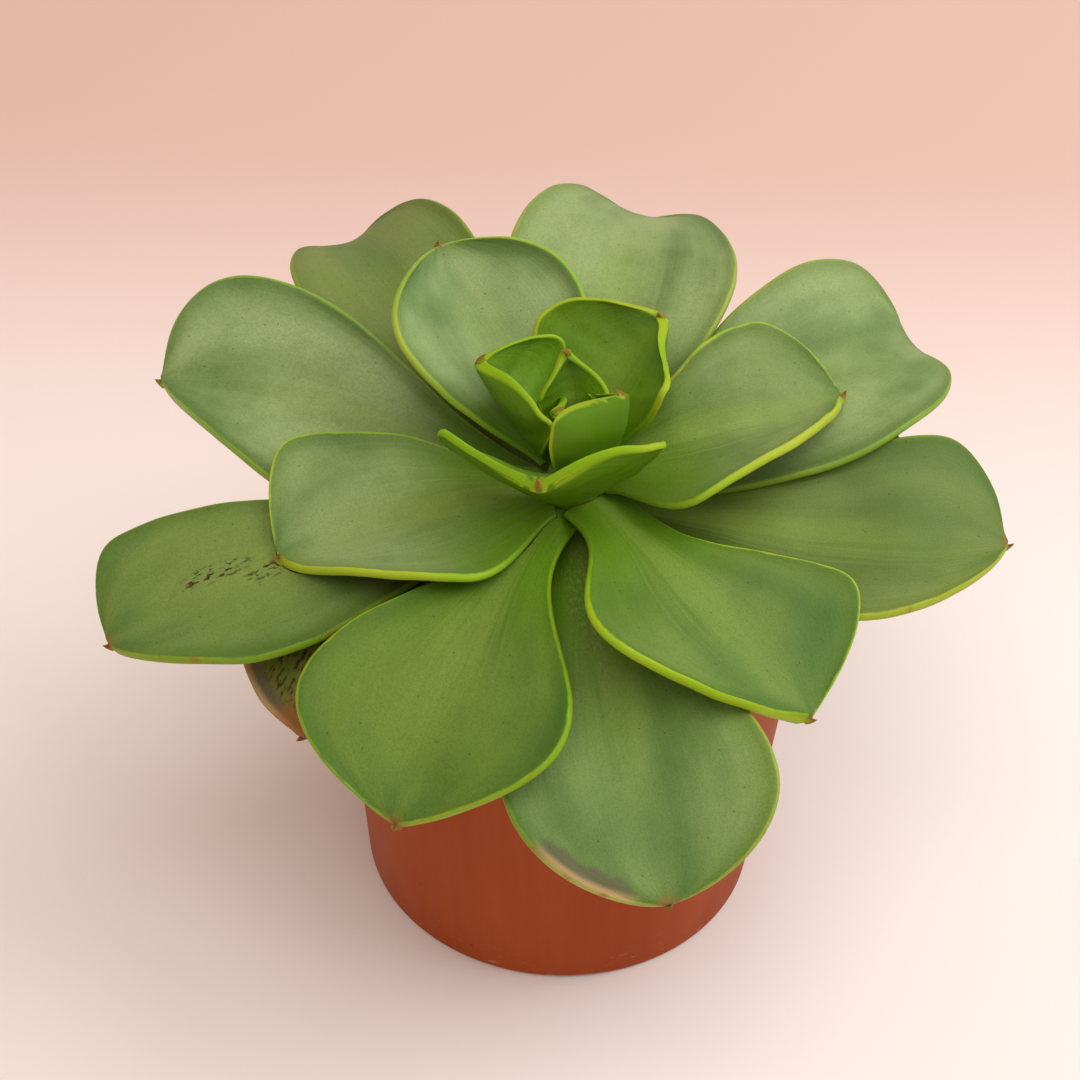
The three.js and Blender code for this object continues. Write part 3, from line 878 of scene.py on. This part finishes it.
class SucculentPotSettings(PropertyGroup):
    """Sizes and colours of the pot."""

    bottom_radius: length_setting("Bottom radius", "Outside radius at the foot", 45.9 * MM)
    top_radius: length_setting("Top radius", "Outside radius of the wall at the lip", 52.5 * MM)
    wall: length_setting("Wall", "Thickness of the wall", 1.2 * MM)
    floor: length_setting("Floor", "Thickness of the floor", 1.8 * MM)
    rim_depth: length_setting("Lip depth", "Height of the lip round the top", 5 * MM)
    rim_proud: length_setting("Lip", "How far the lip stands out from the wall", 1.4 * MM)
    facets: IntProperty(name="Facets", description="Facets around", default=180, min=24)
    color: color_setting("Plastic", "Main colour", (0.32, 0.052, 0.003))
    shade: color_setting("Shade", "Deeper patches", (0.28, 0.042, 0.002))
    highlight: color_setting("Flow marks", "Paler flow marks", (0.44, 0.10, 0.02))


class SucculentSoilSettings(PropertyGroup):
    """Texture and colours of the potting mix."""

    relief: length_setting("Relief", "Height of the soil's unevenness", 1.2 * MM)
    crumb: length_setting("Crumb", "Size of the largest loose crumb", 2.6 * MM)
    crumbs: IntProperty(name="Crumbs", description="Number of loose crumbs", default=420, min=0)
    dark: color_setting("Dark", "Damp peat", (0.02, 0.012, 0.008))
    brown: color_setting("Brown", "Dry peat", (0.07, 0.04, 0.024))
    fibre: color_setting("Fibre", "Bark and fibre", (0.16, 0.09, 0.045))


class SucculentStemSettings(PropertyGroup):
    """Colours of the stem."""

    facets: IntProperty(name="Facets", description="Facets around", default=64, min=12)
    green: color_setting("Green", "Young part", (0.1, 0.2, 0.01))
    cork: color_setting("Cork", "Old part", (0.15, 0.1, 0.055))
    scar: color_setting("Scar", "Leaf scars", (0.16, 0.2, 0.05))


class SucculentStageSettings(PropertyGroup):
    """Floor, lights and camera."""

    color: color_setting("Floor", "Colour of the floor", (0.82, 0.745, 0.71))
    # back and turn: the colour of the painted shade far behind, and where that painted shade begins
    back: color_setting("Floor at the back", "Colour of the floor far behind", (0.64, 0.44, 0.37))
    turn: length_setting("Turn", "Where the floor's tone begins to deepen", 60 * MM)
    key_power: FloatProperty(name="Key", description="Power of the main light", unit="POWER", default=16)
    fill_power: FloatProperty(name="Fill", description="Power of the front light", unit="POWER", default=9)
    sky: FloatProperty(name="Sky", description="Strength of the light all round", default=0.72)
    lens: FloatProperty(name="Lens", description="Focal length in millimetres", default=75, unit="CAMERA")


# ---- Operators ----------------------------------------------------------------------------


def settle(piece, node):
    """Puts a finished piece on the body, in place of its CAD node."""
    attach(piece, BODY)
    if node:
        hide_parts(node)


def aim(thing, location, target):
    thing.location = location
    thing.rotation_mode = "QUATERNION"
    thing.rotation_quaternion = (Vector(target) - Vector(location)).to_track_quat("-Z", "Y")


class SUCCULENT_OT_stage(Operator):
    """Makes the floor, the soft lights and the camera"""

    bl_idname = "succulent.stage"
    bl_label = "Stage"

    reach = 6.0
    sky_color = (1.0, 0.80, 0.70, 1)
    camera_place = (-0.00685, -0.37068, 0.41139)
    camera_right, camera_up = (0.9994, 0.0222, 0.0258), (-0.034, 0.6521, 0.7574)
    camera_back = (0, -0.7578, 0.6524)

    def execute(self, context):
        settings = context.scene.succulent_stage
        context.scene.view_settings.view_transform = "Standard"
        reach = self.reach
        corners = [(-reach, -reach, 0), (reach, -reach, 0), (reach, reach, 0), (-reach, reach, 0)]
        floor = new_piece("floor", corners, [(0, 1, 2, 3)])
        floor.data.materials.append(floor_paper(settings))
        key = self.light("key", settings.key_power, 1.5, (0.86, 0.95, 1.0))
        aim(key, (1.0, 0.15, 1.05), (0, 0, 0.08))
        fill = self.light("fill", settings.fill_power, 1.2, (0.95, 0.98, 1.0))
        aim(fill, (-0.1, -0.6, 1.5), (0, 0, 0.1))
        context.scene.world = self.sky(settings.sky)
        context.scene.camera = self.camera(settings.lens)
        return {"FINISHED"}

    def light(self, name, power, size, color):
        lamp = bpy.data.lights.new(name, "AREA")
        lamp.shape, lamp.size, lamp.energy, lamp.color = "DISK", size, power, color
        thing = bpy.data.objects.new(name, lamp)
        bpy.context.scene.collection.objects.link(thing)
        return thing

    def sky(self, strength):
        world = bpy.data.worlds.new("soft_sky")
        world.use_nodes = True
        background = world.node_tree.nodes["Background"]
        background.inputs["Color"].default_value = self.sky_color
        background.inputs["Strength"].default_value = strength
        return world

    def camera(self, lens):
        camera = bpy.data.objects.new("camera", bpy.data.cameras.new("camera"))
        bpy.context.scene.collection.objects.link(camera)
        camera.data.sensor_width = 36
        camera.data.lens = lens
        turn = Matrix((self.camera_right, self.camera_up, self.camera_back)).transposed()
        camera.matrix_world = Matrix.Translation(self.camera_place) @ turn.to_4x4()
        return camera


def lathe(name, profile, facets):
    """A closed turned piece whose profile of (radius, height) starts and ends on the axis."""
    turns = np.linspace(0, 2 * math.pi, facets, endpoint=False)
    rings = profile[1:-1]
    points = [(r * math.cos(t), r * math.sin(t), z) for r, z in rings for t in turns]
    points += [(0, 0, profile[0][1]), (0, 0, profile[-1][1])]
    piece = new_piece(name, points, closed_rings(len(rings), facets))
    face_outwards(piece.data)
    return piece


def rounded(profile, radii, steps=5):
    """A profile with each corner rounded by its own radius; 0 leaves it sharp."""
    result = [profile[0]]
    for before, corner, after, radius in zip(profile, profile[1:], profile[2:], radii):
        if not radius:
            result.append(corner)
            continue
        corner = Vector(corner)
        to_before, to_after = Vector(before) - corner, Vector(after) - corner
        reach = min(radius, 0.49 * to_before.length, 0.49 * to_after.length)
        start = corner + to_before.normalized() * reach
        end = corner + to_after.normalized() * reach
        for k in range(steps + 1):
            t = k / steps
            result.append(tuple(start * (1 - t) ** 2 + corner * 2 * t * (1 - t) + end * t**2))
    result.append(profile[-1])
    return result


class SUCCULENT_OT_pot(Operator):
    """Makes the pot with its lip, drain channels and holes"""

    bl_idname = "succulent.pot"
    bl_label = "Pot"

    channel_bearing, drains = -84, 3
    channel_width, channel_height, channel_start = 14 * MM, 1 * MM, 29 * MM
    hole_radius, hole_distance = 4 * MM, 35 * MM

    def execute(self, context):
        settings = context.scene.succulent_pot
        pot = lathe("nursery_pot", self.profile(settings), settings.facets)
        cutters = []
        for k in range(self.drains):
            cutters += self.drain(math.radians(self.channel_bearing + 360 * k / self.drains), settings)
        cut_by(pot, cutters)
        for cutter in cutters:
            bpy.data.objects.remove(cutter)
        pot.data.materials.clear()
        pot.data.materials.append(pot_plastic(settings))
        smooth(pot, 35)
        settle(pot, "pot")
        return {"FINISHED"}

    def profile(self, s):
        """Radius and height from the middle of the underside, round the wall and lip, to the floor."""
        taper = (s.top_radius - s.bottom_radius) / POT_TOP
        foot, corner = 0.7 * MM, 1.5 * MM
        under_lip = POT_TOP - s.rim_depth
        lip = s.top_radius + s.rim_proud
        outline = [
            ((0, 0), 0),
            ((s.bottom_radius - foot, 0), 0.8 * MM),
            ((s.bottom_radius + foot * taper, foot), 0.8 * MM),
            ((s.bottom_radius + under_lip * taper, under_lip), 0.6 * MM),
            ((lip - 0.2 * MM, under_lip + 0.5 * MM), 0.5 * MM),
            ((lip, under_lip + 1.2 * MM), 0.5 * MM),
            ((lip, POT_TOP), 0.9 * MM),
            ((s.top_radius - s.wall, POT_TOP), 0.5 * MM),
            ((s.bottom_radius + (s.floor + corner) * taper - s.wall, s.floor + corner), 1 * MM),
            ((s.bottom_radius + s.floor * taper - s.wall - corner, s.floor), 1 * MM),
            ((0, s.floor), 0),
        ]
        points, radii = zip(*outline)
        return rounded(points, radii[1:-1])

    def drain(self, bearing, settings):
        """The cutters of one channel and its hole, which point along a bearing."""
        turn = Matrix.Rotation(bearing, 4, "Z")
        run = settings.bottom_radius + 5 * MM - self.channel_start
        channel = bmesh.new()
        bmesh.ops.create_cube(channel, size=1)
        shape = Matrix.Diagonal((run, self.channel_width, 2 * self.channel_height, 1))
        place = Matrix.Translation((self.channel_start + run / 2, 0, 0))
        bmesh.ops.transform(channel, matrix=turn @ place @ shape, verts=channel.verts)
        upright = [e for e in channel.edges if abs(e.verts[0].co.z - e.verts[1].co.z) > 1e-6]
        bmesh.ops.bevel(channel, geom=upright, offset=2 * MM, segments=4, affect="EDGES", profile=0.5)
        hole = bmesh.new()
        bmesh.ops.create_cone(hole, cap_ends=True, segments=48, radius1=self.hole_radius,
                              radius2=self.hole_radius, depth=6 * settings.floor)
        place = Matrix.Translation((self.hole_distance, 0, 0))
        bmesh.ops.transform(hole, matrix=turn @ place, verts=hole.verts)
        return [self.cutter("channel", channel), self.cutter("hole", hole)]

    def cutter(self, name, work):
        mesh = bpy.data.meshes.new(name)
        work.to_mesh(mesh)
        work.free()
        cutter = bpy.data.objects.new(name, mesh)
        bpy.context.scene.collection.objects.link(cutter)
        return cutter


class SUCCULENT_OT_soil(Operator):
    """Makes the potting mix and the loose crumbs on it"""

    bl_idname = "succulent.soil"
    bl_label = "Potting mix"

    facets = 160
    crest, fall = 80 * MM, 3 * MM  # height in the middle, and how much lower it is at the wall
    corner = 1.8 * MM
    spread = 46.5 * MM  # how far from the middle the crumbs lie

    def execute(self, context):
        settings = context.scene.succulent_soil
        pot = context.scene.succulent_pot
        soil = self.block(settings, pot)
        soil.data.materials.append(potting_mix(settings))
        smooth(soil, 50)
        settle(soil, "soil")
        crumbs = self.scatter(settings, soil)
        crumbs.data.materials.append(crumb_coat(settings))
        settle(crumbs, None)
        return {"FINISHED"}

    def block(self, settings, pot):
        """The block of mix: a little below the pot's wall all round, and highest in the middle."""
        taper = (pot.top_radius - pot.bottom_radius) / POT_TOP
        edge = self.crest - self.fall

        def wall(height):
            return pot.bottom_radius + height * taper - pot.wall - GAP * MM

        corner = self.corner
        profile = [(0, SOIL_FOOT), (wall(SOIL_FOOT) - corner, SOIL_FOOT)]
        profile.append((wall(SOIL_FOOT + corner), SOIL_FOOT + corner))
        profile += [(wall(z), z) for z in np.linspace(SOIL_FOOT + 8 * MM, edge - 1 * MM, 8)]
        for share in np.linspace(0.995, 0.02, 40):
            profile.append((wall(edge) * share, edge + self.fall * (1 - share**1.6)))
        profile.append((0, self.crest))
        soil = lathe("potting_mix", profile, self.facets)
        for vert in soil.data.vertices:
            co = vert.co
            if co.z > edge - 0.5 * MM:
                far = math.hypot(co.x, co.y) / wall(edge)
                calm = min(1, max(0, 1 - max(0, far - 0.93) / 0.07))
                rough = noise.fractal(co * 160, 0.7, 2.2, 4) - 0.25
                co.z += settings.relief * calm * max(-1, min(1, rough))
        return soil

    def scatter(self, settings, soil):
        tree = tree_of(soil)
        rng = random.Random(7)
        points, faces, kinds = [], [], []
        for _ in range(settings.crumbs):
            distance = self.spread * math.sqrt(rng.uniform(0.05, 1))
            turn = rng.uniform(0, 2 * math.pi)
            above = Vector((distance * math.cos(turn), distance * math.sin(turn), POT_TOP))
            hit = tree.ray_cast(above, Vector((0, 0, -1)))[0]
            if hit is None:
                continue
            size = settings.crumb / 2 * rng.uniform(0.25, 1) ** 1.5
            kind = rng.random()
            stretch = Vector((rng.uniform(0.6, 1.3), rng.uniform(0.5, 1), rng.uniform(0.35, 0.7)))
            spin = Matrix.Rotation(rng.uniform(0, math.pi), 3, "Z")
            spin = spin @ Matrix.Rotation(rng.uniform(-0.5, 0.5), 3, "X")
            work = bmesh.new()
            bmesh.ops.create_icosphere(work, subdivisions=2, radius=1)
            first = len(points)
            for vert in work.verts:
                rough = 1 + 0.35 * noise.noise(vert.co * 1.7 + Vector((first, kind * 9, 0)))
                local = Vector(a * b for a, b in zip(vert.co * rough * size, stretch))
                points.append(hit + spin @ local + Vector((0, 0, size * 0.2)))
                kinds.append((kind, 0, 0))
            faces += [[first + v.index for v in face.verts] for face in work.faces]
            work.free()
        crumbs = new_piece("soil_crumbs", points, faces)
        add_vectors(crumbs.data, "kind", kinds)
        crumbs.data.shade_smooth()
        return crumbs


def make_stem_shape(facets):
    """The stem's surface in the part's frame."""
    turns = np.linspace(0, 2 * math.pi, facets, endpoint=False)
    radii, heights = np.array(rounded(STEM_PROFILE, STEM_ROUNDING)[1:-1]).T
    levels = np.unique(np.concatenate([heights, np.linspace(-25, 13, 40)]))
    order = np.argsort(heights)
    widths = np.interp(levels, heights[order], radii[order])
    points = [(r * math.cos(t), r * math.sin(t), z) for r, z in zip(widths, levels) for t in turns]
    points += [(0, 0, STEM_PROFILE[0][1]), (0, 0, STEM_PROFILE[-1][1])]
    stem = new_piece("stem_skin", crown_to_part(points), closed_rings(len(levels), facets))
    face_outwards(stem.data)
    return stem


class SUCCULENT_OT_rosette(Operator):
    """Makes the stem and every leaf, each pressed against those nearer the bud"""

    bl_idname = "succulent.rosette"
    bl_label = "Stem and leaves"

    def execute(self, context):
        settings = context.scene.succulent_leaf
        stem_settings = context.scene.succulent_stem
        stem = make_stem_shape(stem_settings.facets)
        stem.data.materials.append(stem_bark(stem_settings))
        smooth(stem)
        settle(stem, "stem")
        placed = [swollen(stem, GAP * MM)]
        trees = [tree_of(placed[0])]
        for number, (name, leaf) in enumerate(LEAVES.items()):
            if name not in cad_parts:
                raise RuntimeError(f"the frame has no node {name}")
            copy = self.make_leaf(name, leaf, settings, number, placed, trees)
            placed.append(copy)
            trees.append(tree_of(copy))
        for copy in placed:
            bpy.data.objects.remove(copy)
        return {"FINISHED"}

    def make_leaf(self, name, leaf, settings, number, placed, trees):
        """Makes one leaf, trims it clear of those already placed and returns its swollen copy."""
        points, faces, places, length = make_blade(leaf, settings, number)
        points = crown_to_part(points)
        piece = new_piece(f"{name}_blade", points, faces)
        face_outwards(piece.data)
        copy = swollen(piece, GAP * MM)
        own = tree_of(piece)
        touching = [other for other, tree in zip(placed, trees) if own.overlap(tree)]
        if touching:
            cut_by(piece, touching)
        values = carry_over(piece.data, [Vector(p) for p in points], faces, places)
        add_vectors(piece.data, "place", values[:, :3])
        add_vectors(piece.data, "flat", values[:, 3:])
        piece.data.materials.clear()
        piece.data.materials.append(LeafSkin(name, leaf, LOOKS[name], float(length), settings).finish())
        smooth(piece, 50)
        settle(piece, name)
        return copy

    def slot_of(self, name):
        if name.startswith("leaf_old"):
            return "leaf_old"
        if name == "leaf_bud" or name.startswith("leaf_heart"):
            return "leaf_heart"
        return "leaf"


class SUCCULENT_PT_panel(Panel):
    """Lists the steps that build the plant"""

    bl_idname = "SUCCULENT_PT_panel"
    bl_label = "Potted succulent"
    bl_space_type = "VIEW_3D"
    bl_region_type = "UI"
    bl_category = "Succulent"

    def draw(self, context):
        groups = {
            "succulent_stage": SUCCULENT_OT_stage,
            "succulent_pot": SUCCULENT_OT_pot,
            "succulent_soil": SUCCULENT_OT_soil,
            "succulent_stem": None,
            "succulent_leaf": SUCCULENT_OT_rosette,
        }
        for name, step in groups.items():
            box = self.layout.box()
            settings = getattr(context.scene, name)
            for key in settings.__annotations__:
                box.prop(settings, key)
            if step:
                box.operator(step.bl_idname)


GROUPS = {
    "succulent_leaf": SucculentLeafSettings,
    "succulent_pot": SucculentPotSettings,
    "succulent_soil": SucculentSoilSettings,
    "succulent_stem": SucculentStemSettings,
    "succulent_stage": SucculentStageSettings,
}
STEPS = (SUCCULENT_OT_stage, SUCCULENT_OT_pot, SUCCULENT_OT_soil, SUCCULENT_OT_rosette)


def register():
    for name, group in GROUPS.items():
        bpy.utils.register_class(group)
        setattr(bpy.types.Scene, name, PointerProperty(type=group))
    for step in (*STEPS, SUCCULENT_PT_panel):
        bpy.utils.register_class(step)


def unregister():
    for step in (SUCCULENT_PT_panel, *reversed(STEPS)):
        bpy.utils.unregister_class(step)
    for name, group in reversed(GROUPS.items()):
        delattr(bpy.types.Scene, name)
        bpy.utils.unregister_class(group)


def main():
    register()
    bpy.ops.succulent.stage()
    bpy.ops.succulent.pot()
    bpy.ops.succulent.soil()
    bpy.ops.succulent.rosette()


if __name__ == "__main__":
    main()
